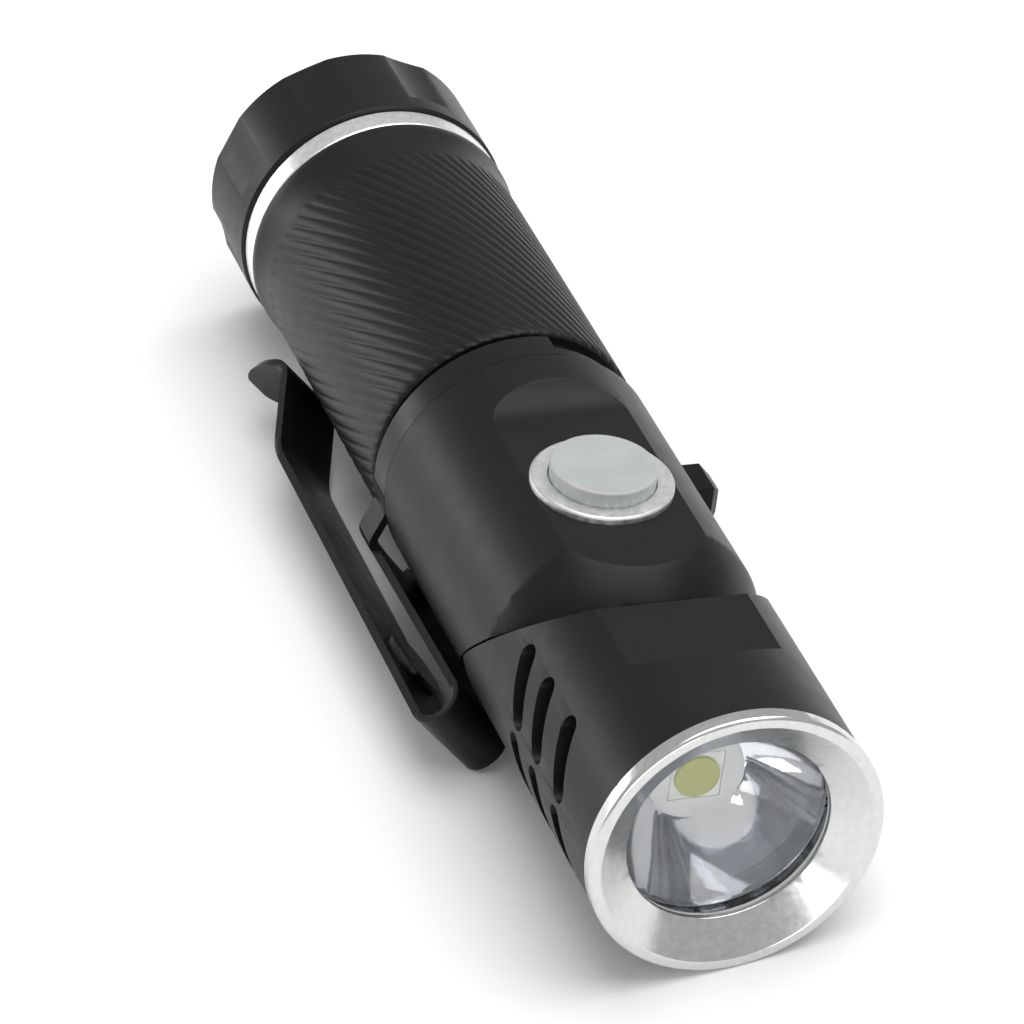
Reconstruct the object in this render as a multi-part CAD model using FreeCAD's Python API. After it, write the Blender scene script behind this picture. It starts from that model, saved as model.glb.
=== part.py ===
import FreeCAD, Part
import math
import os

# Pocket flashlight with a head that twists on a 45 degree joint.
# Millimetres. While it is modelled, +Y runs from lip to tail and +Z points through the side
# button. Every piece is then rolled about Y by the angle at which the light lies on a flat
# floor, on its bezel, its tail cap and the lower edge of its pocket clip, and it is moved so
# that the origin is the centre of the tail's flat end face.

V = FreeCAD.Vector

# ---------------------------------------------------------------- driving dimensions
HEAD_LENGTH = 34.2          # lip to the centre of the twist joint
MID_LENGTH = 27.2           # twist joint to the rear edge of the switch housing
BODY_R = 13.95              # switch housing, outer radius
CELL_R = 9.25               # battery cell
CELL_LENGTH = 65.0

# Steps of the outside, measured from BODY_R
BEZEL_STEP = 0.35
HEAD_STEP = 0.20
TUBE_STEP = -0.22
FLANGE_STEP = 0.15
RING_STEP = 0.05
TAIL_STEP = 0.35

# Clearances and common wall sizes
SEAM_GAP = 0.30             # between the two halves of the twist joint
RUN_GAP = 0.05              # running fits
THREAD_GAP = 0.05           # threads stand as plain cylinders
SEAT_GAP = 0.10             # parts dropped into a pocket
SEAM_WALL = 2.6             # wall behind each face of the twist joint
RUN_OUT = 0.5               # bores and threads end this far behind their pieces

# Bezel, lens and reflector
BEZEL_BAND = 1.6            # outer band of the bezel
BEZEL_LIP = 1.1             # flat rim round the mouth
BEZEL_EDGE = 0.25
MOUTH_R = 9.9
MOUTH_DEPTH = 2.4           # the cone from the lip ends here
MOUTH_RIM = 0.5             # metal behind the end of the cone
BEZEL_SKIRT_R = 12.4        # threaded into the head
BEZEL_SKIRT_END = 5.4
SEAL_T = 0.4
LENS_T = 1.6
LENS_R = 11.3
REFLECTOR_MOUTH_R = 10.4
REFLECTOR_HOLE_R = 4.7
REFLECTOR_HOLE_Y = 11.0
REFLECTOR_RIM_T = 1.2
REFLECTOR_WALL = 0.7
CENTERING_R = 6.2
LED_BASE = 5.0              # side of the square LED package
LED_BASE_T = 0.7
LED_DIE_R = 2.2
LED_DIE_T = 0.35
LED_BOARD_R = 8.0
LED_BOARD_T = 1.4
SHELF_T = 4.0               # solid metal behind the LED board
LEAD_HOLE_R = 1.5
LEAD_HOLE_OFFSET = 6.0

# Head outside
HEAD_FLAT = 12.0            # height of the flat above the axis
HEAD_FLAT_START = 13.0
HEAD_FLAT_RAMP = 2.37       # length of its front slope
TIP_OVER = 0.2              # how far the ball shape of the tips stands over the wall
MID_TIP_SETBACK = 1.4       # the housing's ball shape is centred this far behind the joint
HEAD_CAVITY_R = 9.3
LED_POCKET_LEAD = 2.0       # the LED board's pocket starts this far before the hole
SLOT_WIDTH = 2.4
SLOT_DEPTH = 2.0
SLOT_STARTS = (9.3, 15.4, 20.7)
SLOT_SLOPE = 0.54           # rise along Y for each millimetre towards the button
SLOT_UPPER = (5.9, 1.0)      # heights of the two ends of the upper row of slots
SLOT_LOWER = (-2.2, -6.6)
SLOT_STEP = 2.0             # the lower row stands this much nearer the joint

# Twist joint
SHAFT_R = 5.0
SHAFT_BORE_R = 3.4
SHAFT_FLANGE_OUT = 1.6
SHAFT_FLANGE_T = 1.0
SHAFT_TAIL = 0.8
WASHER_T = 0.5
CLIP_RING_T = 0.7
CLIP_RING_OUT = 1.1
CLIP_RING_MOUTH = 5.0
CLIP_RING_GROOVE = 0.45
PIVOT_SEAL_R = 8.0
PIVOT_SEAL_W = 1.0
PIVOT_SEAL_T = 0.9

# Switch housing
FLAT = 12.1                 # height of the switch flat above the axis
FLAT_END = 18.6             # from the joint to where the flat starts to rise
FLAT_RAMP = 4.4
SWITCH_OFFSET = 7.3         # button behind the joint
SWITCH_POCKET_R = 6.1
SWITCH_POCKET_FLOOR = 9.9
SWITCH_RECESS_T = 0.5
SWITCH_RING_FLANGE = 0.85   # outside the pocket
SWITCH_RING_T = 0.75        # above the flat
SWITCH_RING_BORE = 5.25
SWITCH_RING_LIP = 0.45
SWITCH_RING_EDGE = 0.2
SWITCH_RING_LIP_W = 0.40    # over the edge of the button
SWITCH_BOARD_T = 0.6
TACT_SIDE = 4.2
TACT_T = 0.6
TACT_PLUNGER_R = 1.2
TACT_PLUNGER_T = 0.25
CAP_RISE = 2.3              # button top above the flat
CAP_FLANGE_T = 0.45
CAP_EDGE = 0.25
CAP_DISH = 0.40
CAP_DISH_R = 4.2
BUTTON_TRAVEL = 0.5
FRONT_CAVITY_R = 9.0
CELL_SETBACK = 14.0         # joint to the tip of the cell
CONTACT_T = 2.0
CONTACT_R = 3.2
CONTACT_PIN_R = 1.9
CONTACT_FLANGE_T = 0.6
DRIVER_T = 1.6
CHIP_T = 1.0
CHIP_W = 5.0
CHIP_H = 3.5
CHIP_X = -2.0
CHIP_Z = -4.2

# Charging socket on the +X side
PORT_LEAD = 2.4             # socket centre behind the edge of the twist shaft
PORT_HEIGHT = 1.5           # socket centre towards the button
PORT_W = 8.9
PORT_H = 3.2
PORT_DEPTH = 7.0
PORT_SHELL = 0.35
PORT_BACK = 1.0             # thickness of the socket's rear wall
PORT_TONGUE_T = 0.7
PORT_TONGUE_INSET = 1.2
PORT_TONGUE_SETBACK = 1.0
PORT_RECESS_FRONT = 3.2     # from the socket centre
PORT_RECESS_REAR = 13.6
PORT_RECESS_Z = 9.6
PORT_CORNER_R = 2.4
PORT_FLOOR = 12.2
PLUG_TAB_OUT = 3.0
PLUG_TAB_Y = 4.4
PLUG_TAB_Z = 4.4
PLUG_TAB_BEVEL = 0.9

# Battery tube
BORE_GAP = 0.30
CLIP_GROOVE_W = 4.4
NECK_R = 12.6               # floor of the clip groove
NECK_RIDGE_W = 1.2
FRONT_THREAD_R = 12.1
FRONT_THREAD_L = 7.0
REAR_THREAD_R = 12.0
REAR_THREAD_L = 8.5
SEAL_GROOVE = 0.8
SEAL_W = 1.5
SEAL_LAND = 0.6             # metal between the rear seal groove and the tail ring
FLARE_L = 3.8
FLANGE_L = 0.8
TUBE_EDGE = 0.4
CELL_TIP_R = 2.7
CELL_TIP_T = 1.4
CELL_WRAP_T = 0.12

# Tail
TAIL_RING_T = 3.0
TAIL_RING_EDGE = 0.3
TAIL_CAP_L = 11.8
TAIL_WALL = 2.2
TAIL_BOARD_T = 1.0
TAIL_BOARD_R = 10.1
TAIL_POCKET_L = 2.8
RETAINER_T = 1.1
RETAINER_BORE_R = 7.6
SPRING_L = 3.6
SPRING_R = 5.2
SPRING_WIRE_R = 0.35
SPRING_TURNS = 2.5
TAIL_EDGE = 0.9
SCALLOPS = 8
SCALLOP_R = 11.0
SCALLOP_DEPTH = 0.5
SCALLOP_SETBACK = 2.4

# Pocket clip
CLIP_SHEET = 0.8
CLIP_HALF_W = 4.3
CLIP_ANGLE = -132.0         # from the button, towards +X
CLIP_SPAN = 142.0           # half of the arc that the spring ring covers
CLIP_BAND_W = 3.2
CLIP_LEG_GAP = 1.15         # leg to housing, at the ring
CLIP_FOLD_GAP = 0.60        # leg to housing, at the fold
CLIP_FOLD_R = 2.30
CLIP_FOLD_FLAT = 0.14       # straight piece between the two bends of the fold
CLIP_REACH = 25.8           # rear of the housing forward to the fold
CLIP_ARM_L = 48.2
CLIP_ARM_DROP = 0.25
CLIP_DIP_L = 10.2
CLIP_DIP_R = 7.0
CLIP_TONGUE_L = 5.6
CLIP_TONGUE_R = 2.2
CLIP_TONGUE_RISE = 4.6
CLIP_TIP_GAP = 0.15         # arm to tube where it grips cloth
CLIP_EAR_FOOT = 28.0        # degrees from the clip's middle line
CLIP_EAR_END = 37.0
CLIP_EAR_LAP = 0.4          # degrees that an ear runs into the ring
CLIP_EAR_LIFT = 0.06
CLIP_EAR_OUT = 0.5          # an ear's top bend stands outside the leg by this
CLIP_EAR_BEND = 1.3
CLIP_WINDOW_R = 2.9
CLIP_WINDOW_Y = 2.7         # centre of its round end behind the housing
BADGE_R = 3.6
BADGE_T = 0.9
BADGE_OFFSET = 13.5         # behind the fold

# ---------------------------------------------------------------- stations along the light
PIVOT_Y = HEAD_LENGTH
MID_END = PIVOT_Y + MID_LENGTH
TUBE_FRONT = MID_END + CLIP_GROOVE_W
BAND_FRONT = MID_END + RUN_GAP
BAND_REAR = BAND_FRONT + CLIP_BAND_W
CELL_FRONT = PIVOT_Y + CELL_SETBACK
CELL_REAR = CELL_FRONT + CELL_LENGTH
BOARD_FRONT = CELL_REAR + SPRING_L
BOARD_REAR = BOARD_FRONT + TAIL_BOARD_T
TAIL_END = BOARD_REAR + TAIL_WALL
CAP_FRONT = TAIL_END - TAIL_CAP_L
TAIL_RING_FRONT = CAP_FRONT - TAIL_RING_T
LED_BOARD_FRONT = REFLECTOR_HOLE_Y + LED_BASE_T
SHELF_FRONT = LED_BOARD_FRONT + LED_BOARD_T
MOUTH_SEAT = MOUTH_DEPTH + MOUTH_RIM
LENS_FRONT = MOUTH_SEAT + SEAL_T
LENS_REAR = LENS_FRONT + LENS_T
SWITCH_Y = PIVOT_Y + SWITCH_OFFSET
SWITCH_RING_R = SWITCH_POCKET_R + SWITCH_RING_FLANGE
SWITCH_RECESS_R = SWITCH_RING_R + RUN_GAP
SWITCH_SKIRT_R = SWITCH_RING_BORE + SWITCH_RING_LIP_W
SHAFT_FLANGE_R = SHAFT_R + SHAFT_FLANGE_OUT
CLIP_RING_R = SHAFT_R + CLIP_RING_OUT
PORT_Y = PIVOT_Y + SHAFT_R + PORT_LEAD
FRONT_GROOVE_Y = TUBE_FRONT + FRONT_THREAD_L - 2 * SEAL_W
REAR_GROOVE_Y = CAP_FRONT + SEAL_LAND

BEZEL_R = BODY_R + BEZEL_STEP
HEAD_R = BODY_R + HEAD_STEP
TUBE_R = BODY_R + TUBE_STEP
TAIL_R = BODY_R + TAIL_STEP
BORE_R = CELL_R + BORE_GAP
RIDGE_R = BODY_R - CLIP_SHEET - RUN_GAP

PIVOT = V(0, PIVOT_Y, 0)
JOINT_AXIS = V(0, -1, -1)
JOINT_AXIS.normalize()
FAR = 400.0                 # larger than the whole light
OVER = 1.0                  # cutting bodies reach this far past what they cut


# ---------------------------------------------------------------- helpers
def rod(radius, start, end):
    """Round bar on the light's own axis."""
    return Part.makeCylinder(radius, end - start, V(0, start, 0), V(0, 1, 0))


def ring(outer, inner, start, end):
    return rod(outer, start, end).cut(rod(inner, start - OVER, end + OVER))


def turned(profile):
    """Solid of revolution about Y from (radius, y) corners."""
    corners = [V(r, y, 0) for r, y in profile]
    face = Part.Face(Part.makePolygon(corners + [corners[0]]))
    return face.revolve(V(0, 0, 0), V(0, 1, 0), 360)


def box(x0, x1, y0, y1, z0, z1):
    return Part.makeBox(x1 - x0, y1 - y0, z1 - z0, V(x0, y0, z0))


def joint_side(direction, offset):
    """Half space beyond a plane square to the joint axis, offset from the pivot."""
    block = Part.makeBox(FAR, FAR, FAR, V(-FAR / 2, -FAR / 2, 0))
    turn = FreeCAD.Rotation(V(0, 0, 1), direction)
    block.Placement = FreeCAD.Placement(PIVOT + direction * offset, turn)
    return block


def joint_rod(radius, start, end):
    """Round bar on the twist axis; distances grow towards the head."""
    return Part.makeCylinder(radius, end - start, PIVOT + JOINT_AXIS * start, JOINT_AXIS)


def joint_ring(outer, inner, start, end):
    return joint_rod(outer, start, end).cut(joint_rod(inner, start - OVER, end + OVER))


def radial_rod(radius, start, end, y):
    """Round bar along the button direction."""
    return Part.makeCylinder(radius, end - start, V(0, y, start), V(0, 0, 1))


def bent_strip(points, radii, thickness):
    """Face of a bent sheet seen edge-on: (a, b) points, a radius at each inner corner."""
    path = [V(a, b, 0) for a, b in points]
    sides = {1: [], -1: []}
    for side in sides:
        shift = side * thickness / 2
        here = path[0]
        for i in range(1, len(path) - 1):
            into = (path[i] - path[i - 1]).normalize()
            out = (path[i + 1] - path[i]).normalize()
            turn = into.getAngle(out)
            hand = 1 if into.cross(out).z > 0 else -1
            reach = radii[i - 1] * math.tan(turn / 2)
            begin = path[i] - into * reach
            finish = path[i] + out * reach
            left_in = V(-into.y, into.x, 0)
            left_out = V(-out.y, out.x, 0)
            centre = begin + left_in * (hand * radii[i - 1])
            middle = path[i] - centre
            middle.normalize()
            radius = radii[i - 1] - hand * shift
            start = begin + left_in * shift
            end = finish + left_out * shift
            first = here + left_in * shift
            if (first - start).Length > 1e-4:
                sides[side].append(Part.LineSegment(first, start).toShape())
            sides[side].append(Part.Arc(start, centre + middle * radius, end).toShape())
            here = finish
        last = (path[-1] - path[-2]).normalize()
        left = V(-last.y, last.x, 0) * shift
        sides[side].append(Part.LineSegment(here + left, path[-1] + left).toShape())
    ends = []
    for k in (0, -1):
        a = sides[1][k].Vertexes[k].Point
        b = sides[-1][k].Vertexes[k].Point
        ends.append(Part.LineSegment(a, b).toShape())
    loop = Part.Wire(Part.__sortEdges__(sides[1] + sides[-1] + ends))
    return Part.Face(loop)


def save(name, shape):
    """Roll a piece into the resting position, put the origin at the tail face and write it."""
    piece = shape.removeSplitter()
    piece.rotate(V(0, 0, 0), V(0, 1, 0), REST_ROLL)
    piece.translate(V(0, -TAIL_END, 0))
    piece.exportStep("parts/" + name + ".step")
    return piece


# ---------------------------------------------------------------- resting position
# The clip's lower outer corner reaches the floor that the bezel and tail cap stand on.
CLIP_ARM_OUT = BODY_R + CLIP_FOLD_GAP + CLIP_SHEET + 2 * CLIP_FOLD_R
CLIP_CORNER = math.hypot(CLIP_ARM_OUT, CLIP_HALF_W)
CORNER_TURN = math.atan2(CLIP_HALF_W, CLIP_ARM_OUT)
CLIP_LEAN = math.degrees(CORNER_TURN + math.acos(BEZEL_R / CLIP_CORNER))
REST_ROLL = CLIP_LEAN - 180 - CLIP_ANGLE


# ---------------------------------------------------------------- head
def bezel_ring():
    lip = BEZEL_R - BEZEL_LIP
    return turned([
        (BEZEL_R - BEZEL_EDGE, 0), (BEZEL_R, BEZEL_EDGE), (BEZEL_R, BEZEL_BAND),
        (BEZEL_SKIRT_R, BEZEL_BAND), (BEZEL_SKIRT_R, BEZEL_SKIRT_END),
        (LENS_R + SEAT_GAP, BEZEL_SKIRT_END), (LENS_R + SEAT_GAP, MOUTH_SEAT),
        (MOUTH_R, MOUTH_SEAT), (MOUTH_R, MOUTH_DEPTH), (lip, 0)])


def lens_seal():
    return ring(LENS_R, MOUTH_R + RUN_GAP, MOUTH_SEAT, LENS_FRONT)


def front_lens():
    return rod(LENS_R, LENS_FRONT, LENS_REAR)


def reflector_bowl(extra, start, end):
    """Paraboloid that meets the mouth and hole radii, grown by extra."""
    depth = REFLECTOR_HOLE_Y - LENS_REAR
    four_f = (REFLECTOR_MOUTH_R ** 2 - REFLECTOR_HOLE_R ** 2) / depth
    vertex = REFLECTOR_HOLE_Y + REFLECTOR_HOLE_R ** 2 / four_f
    steps = 16
    curve = []
    for i in range(steps + 1):
        y = start + (end - start) * i / steps
        curve.append(V(math.sqrt(four_f * (vertex - y)) + extra, y, 0))
    spline = Part.BSplineCurve()
    spline.interpolate(curve)
    edges = [spline.toShape(),
             Part.makeLine(curve[-1], V(0, end, 0)),
             Part.makeLine(V(0, end, 0), V(0, start, 0)),
             Part.makeLine(V(0, start, 0), curve[0])]
    return Part.Face(Part.Wire(edges)).revolve(V(0, 0, 0), V(0, 1, 0), 360)


def reflector():
    rim = rod(LENS_R, LENS_REAR, LENS_REAR + REFLECTOR_RIM_T)
    cup = reflector_bowl(REFLECTOR_WALL, LENS_REAR, REFLECTOR_HOLE_Y)
    bowl = reflector_bowl(0, LENS_REAR, REFLECTOR_HOLE_Y)
    return rim.fuse(cup).cut(bowl)


def centering_ring():
    """White frame that centres the reflector hole on the LED."""
    plate = rod(CENTERING_R, REFLECTOR_HOLE_Y, LED_BOARD_FRONT)
    half = LED_BASE / 2 + SEAT_GAP
    return plate.cut(box(-half, half, 0, FAR, -half, half))


def led_package():
    half = LED_BASE / 2
    return box(-half, half, REFLECTOR_HOLE_Y, LED_BOARD_FRONT, -half, half)


def led_phosphor():
    return rod(LED_DIE_R, REFLECTOR_HOLE_Y - LED_DIE_T, REFLECTOR_HOLE_Y)


def led_board():
    board = rod(LED_BOARD_R, LED_BOARD_FRONT, SHELF_FRONT)
    for side in (-1, 1):
        board = board.cut(lead_hole(side))
    return board


def lead_hole(side):
    return Part.makeCylinder(LEAD_HOLE_R, FAR, V(side * LEAD_HOLE_OFFSET, 0, 0), V(0, 1, 0))


def cooling_slot(start, ends, side):
    """Slanted slot in one side of the head; start is where its line crosses zero height."""
    top, bottom = ends
    shell = ring(FAR / 2, HEAD_R - SLOT_DEPTH, start - 20, start + 20)
    length = (top - bottom) * math.hypot(1, SLOT_SLOPE)
    half = SLOT_WIDTH / 2
    outward = V(side, 0, 0)
    bar = Part.makeBox(FAR / 4, SLOT_WIDTH, length, V(0, -half, 0))
    for z in (0, length):
        bar = bar.fuse(Part.makeCylinder(half, FAR / 4, V(0, 0, z), V(1, 0, 0)))
    bar.rotate(V(0, 0, 0), V(1, 0, 0), -math.degrees(math.atan(SLOT_SLOPE)))
    bar.translate(V(0, start + SLOT_SLOPE * bottom, bottom))
    if side < 0:
        bar = bar.mirror(V(0, 0, 0), outward)
    return shell.common(bar)


def head_flat_cutter():
    """What stands over the head's flat, with a straight slope at its front end."""
    top = HEAD_R + OVER
    front = HEAD_FLAT_START - HEAD_FLAT_RAMP * (top - HEAD_FLAT) / (HEAD_R - HEAD_FLAT)
    profile = [V(-FAR / 2, HEAD_FLAT_START, HEAD_FLAT), V(-FAR / 2, FAR / 4, HEAD_FLAT),
               V(-FAR / 2, FAR / 4, top), V(-FAR / 2, front, top)]
    return Part.Face(Part.makePolygon(profile + [profile[0]])).extrude(V(FAR, 0, 0))


def head_shell():
    body = rod(HEAD_R, BEZEL_BAND, PIVOT_Y + HEAD_R + OVER)
    body = body.common(joint_side(JOINT_AXIS, SEAM_GAP / 2))
    ball = Part.makeSphere(HEAD_R + TIP_OVER, PIVOT)
    body = body.common(ball.fuse(rod(HEAD_R + OVER, 0, PIVOT_Y)))
    body = body.cut(head_flat_cutter())
    body = body.cut(rod(BEZEL_SKIRT_R + THREAD_GAP, 0, BEZEL_SKIRT_END + RUN_OUT))
    body = body.cut(rod(LENS_R + SEAT_GAP, 0, LENS_REAR + REFLECTOR_RIM_T))
    cup = reflector_bowl(REFLECTOR_WALL + SEAT_GAP, LENS_REAR, REFLECTOR_HOLE_Y)
    body = body.cut(cup)
    pocket_front = REFLECTOR_HOLE_Y - LED_POCKET_LEAD
    body = body.cut(rod(LED_BOARD_R + SEAT_GAP, pocket_front, SHELF_FRONT))
    cavity = rod(HEAD_CAVITY_R, SHELF_FRONT + SHELF_T, FAR / 4)
    cavity = cavity.common(joint_side(JOINT_AXIS, SEAM_GAP / 2 + SEAM_WALL))
    body = body.cut(cavity)
    body = body.cut(joint_rod(SHAFT_R, 0, SEAM_WALL + OVER))
    for side in (-1, 1):
        shelf = box(-FAR, FAR, 0, SHELF_FRONT + SHELF_T + OVER, -FAR, FAR)
        body = body.cut(lead_hole(side).common(shelf))
        for start in SLOT_STARTS:
            body = body.cut(cooling_slot(start, SLOT_UPPER, side))
            body = body.cut(cooling_slot(start + SLOT_STEP, SLOT_LOWER, side))
    return body


# ---------------------------------------------------------------- twist joint
def pivot_shaft():
    inner = SEAM_GAP / 2 + SEAM_WALL
    ring_in = -(inner + WASHER_T)
    end = ring_in - CLIP_RING_T - SHAFT_TAIL
    shaft = joint_rod(SHAFT_R, end, inner)
    shaft = shaft.fuse(joint_rod(SHAFT_FLANGE_R, inner, inner + SHAFT_FLANGE_T))
    shaft = shaft.cut(joint_rod(SHAFT_BORE_R, end - OVER, inner + SHAFT_FLANGE_T + OVER))
    floor = SHAFT_R - CLIP_RING_GROOVE
    groove = joint_ring(SHAFT_R + OVER, floor, ring_in - CLIP_RING_T, ring_in)
    return shaft.cut(groove)


def pivot_washer():
    top = -(SEAM_GAP / 2 + SEAM_WALL)
    return joint_ring(SHAFT_FLANGE_R, SHAFT_R + RUN_GAP, top - WASHER_T, top)


def retaining_ring():
    top = -(SEAM_GAP / 2 + SEAM_WALL + WASHER_T)
    circlip = joint_ring(CLIP_RING_R, SHAFT_R - CLIP_RING_GROOVE, top - CLIP_RING_T, top)
    half = CLIP_RING_MOUTH / 2
    mouth = box(-half, half, -FAR / 4, FAR / 4, 0, FAR / 4)
    mouth.rotate(V(0, 0, 0), V(1, 0, 0), 45)
    mouth.translate(PIVOT)
    return circlip.cut(mouth)


def pivot_seal():
    half = PIVOT_SEAL_W / 2
    top = -SEAM_GAP / 2
    return joint_ring(PIVOT_SEAL_R + half, PIVOT_SEAL_R - half, top - PIVOT_SEAL_T, top)


# ---------------------------------------------------------------- switch housing
def switch_flat_cutter():
    """Flat under the button, with a hollow run-out at its rear end."""
    end = PIVOT_Y + FLAT_END
    rise = BODY_R - FLAT
    radius = (FLAT_RAMP ** 2 + rise ** 2) / (2 * rise)
    half_turn = math.asin(FLAT_RAMP / radius) / 2
    middle = V(-FAR / 2, end + radius * math.sin(half_turn),
               FLAT + radius * (1 - math.cos(half_turn)))
    low = V(-FAR / 2, end, FLAT)
    high = V(-FAR / 2, end + FLAT_RAMP, BODY_R)
    over = V(-FAR / 2, end + FLAT_RAMP + OVER, BODY_R + OVER)
    back = V(-FAR / 2, 0, BODY_R + OVER)
    front = V(-FAR / 2, 0, FLAT)
    edges = [Part.makeLine(front, low), Part.Arc(low, middle, high).toShape(),
             Part.makeLine(high, over), Part.makeLine(over, back), Part.makeLine(back, front)]
    return Part.Face(Part.Wire(edges)).extrude(V(FAR, 0, 0))


def port_recess(inset):
    """Round-cornered well over the socket and the pull tab; inset makes the plug's outline."""
    half_z = PORT_RECESS_Z / 2 - inset
    well = box(PORT_FLOOR, FAR / 8, PORT_Y - PORT_RECESS_FRONT + inset,
               PORT_Y + PORT_RECESS_REAR - inset, PORT_HEIGHT - half_z, PORT_HEIGHT + half_z)
    corners = [e for e in well.Edges if e.BoundBox.XLength > OVER]
    return well.makeFillet(PORT_CORNER_R - inset, corners)


def port_pocket(grow, depth):
    half_y = PORT_H / 2 + grow
    half_z = PORT_W / 2 + grow
    return box(PORT_FLOOR - depth, PORT_FLOOR + OVER, PORT_Y - half_y, PORT_Y + half_y,
               PORT_HEIGHT - half_z, PORT_HEIGHT + half_z)


def switch_housing():
    body = rod(BODY_R, PIVOT_Y - BODY_R - OVER, MID_END)
    body = body.fuse(rod(NECK_R, MID_END, TUBE_FRONT))
    ridge = MID_END + CLIP_GROOVE_W / 2
    body = body.fuse(rod(RIDGE_R, ridge - NECK_RIDGE_W / 2, ridge + NECK_RIDGE_W / 2))
    body = body.fuse(rod(FRONT_THREAD_R, TUBE_FRONT, TUBE_FRONT + FRONT_THREAD_L))
    body = body.common(joint_side(-JOINT_AXIS, SEAM_GAP / 2))
    crease = math.sqrt((BODY_R + TIP_OVER) ** 2 - BODY_R ** 2)
    ball_r = math.hypot(BODY_R, crease + MID_TIP_SETBACK)
    ball = Part.makeSphere(ball_r, PIVOT + V(0, MID_TIP_SETBACK, 0))
    body = body.common(ball.fuse(rod(BODY_R + OVER, PIVOT_Y, FAR / 2)))
    body = body.cut(switch_flat_cutter())
    inside = joint_side(-JOINT_AXIS, SEAM_GAP / 2 + SEAM_WALL)
    body = body.cut(rod(FRONT_CAVITY_R, 0, CELL_FRONT).common(inside))
    body = body.cut(rod(BORE_R, CELL_FRONT - CONTACT_T, FAR / 2))
    body = body.cut(joint_rod(SHAFT_R + RUN_GAP, -SEAM_WALL - OVER, 0))
    half = PIVOT_SEAL_W / 2 + RUN_GAP
    body = body.cut(joint_ring(PIVOT_SEAL_R + half, PIVOT_SEAL_R - half,
                               -SEAM_GAP / 2 - PIVOT_SEAL_T - RUN_GAP, 0))
    body = body.cut(radial_rod(SWITCH_POCKET_R, SWITCH_POCKET_FLOOR, FAR / 4, SWITCH_Y))
    body = body.cut(radial_rod(SWITCH_RECESS_R, FLAT - SWITCH_RECESS_T, FAR / 4, SWITCH_Y))
    body = body.cut(port_recess(0))
    body = body.cut(port_pocket(SEAT_GAP, PORT_DEPTH))
    groove = ring(FAR / 8, FRONT_THREAD_R - SEAL_GROOVE, FRONT_GROOVE_Y, FRONT_GROOVE_Y + SEAL_W)
    return body.cut(groove)


def thread_seal(radius, groove_y):
    return ring(radius, radius - SEAL_GROOVE, groove_y + SEAT_GAP, groove_y + SEAL_W - SEAT_GAP)


def front_tube_seal():
    return thread_seal(FRONT_THREAD_R, FRONT_GROOVE_Y)


def switch_bezel():
    lip_low = FLAT + SWITCH_RING_T - SWITCH_RING_LIP
    ring_body = radial_rod(SWITCH_RING_R, FLAT - SWITCH_RECESS_T, FLAT + SWITCH_RING_T, SWITCH_Y)
    ring_body = ring_body.makeChamfer(SWITCH_RING_EDGE, [ring_edge(ring_body, FLAT + SWITCH_RING_T)])
    skirt_low = SWITCH_POCKET_FLOOR + SWITCH_BOARD_T
    skirt = radial_rod(SWITCH_POCKET_R - RUN_GAP, skirt_low, FLAT, SWITCH_Y)
    solid = ring_body.fuse(skirt)
    solid = solid.cut(radial_rod(SWITCH_RING_BORE, 0, FAR / 4, SWITCH_Y))
    return solid.cut(radial_rod(SWITCH_SKIRT_R, 0, lip_low, SWITCH_Y))


def ring_edge(solid, z):
    """The circular edge of an upright bar at height z."""
    for edge in solid.Edges:
        if abs(edge.BoundBox.ZMin - z) < 1e-6 and abs(edge.BoundBox.ZMax - z) < 1e-6:
            return edge


def switch_board():
    low = SWITCH_POCKET_FLOOR
    return radial_rod(SWITCH_POCKET_R - SEAT_GAP, low, low + SWITCH_BOARD_T, SWITCH_Y)


def tact_switch():
    low = SWITCH_POCKET_FLOOR + SWITCH_BOARD_T
    half = TACT_SIDE / 2
    body = box(-half, half, SWITCH_Y - half, SWITCH_Y + half, low, low + TACT_T)
    return body.fuse(radial_rod(TACT_PLUNGER_R, low, low + TACT_T + TACT_PLUNGER_T, SWITCH_Y))


def button_cap():
    lip_low = FLAT + SWITCH_RING_T - SWITCH_RING_LIP
    flange_top = lip_low - RUN_GAP
    flange_low = flange_top - CAP_FLANGE_T
    top = FLAT + CAP_RISE
    radius = SWITCH_RING_BORE - 2 * RUN_GAP
    crown = radial_rod(radius, flange_low, top, SWITCH_Y)
    crown = crown.makeFillet(CAP_EDGE, [ring_edge(crown, top)])
    cap = crown.fuse(radial_rod(SWITCH_SKIRT_R - 2 * RUN_GAP, flange_low, flange_top, SWITCH_Y))
    dish_r = (CAP_DISH_R ** 2 + CAP_DISH ** 2) / (2 * CAP_DISH)
    dish = Part.makeSphere(dish_r, V(0, SWITCH_Y, top + dish_r - CAP_DISH))
    return cap.cut(dish)


def usb_socket():
    depth = PORT_DEPTH - RUN_GAP
    shell = port_pocket(0, depth).cut(box(PORT_FLOOR, FAR, -FAR, FAR, -FAR, FAR))
    hollow = port_pocket(-PORT_SHELL, depth - PORT_BACK)
    half_t = PORT_TONGUE_T / 2
    half_z = PORT_W / 2 - PORT_TONGUE_INSET
    tongue = box(PORT_FLOOR - depth, PORT_FLOOR - PORT_TONGUE_SETBACK, PORT_Y - half_t,
                 PORT_Y + half_t, PORT_HEIGHT - half_z, PORT_HEIGHT + half_z)
    return shell.cut(hollow).fuse(tongue)


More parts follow.
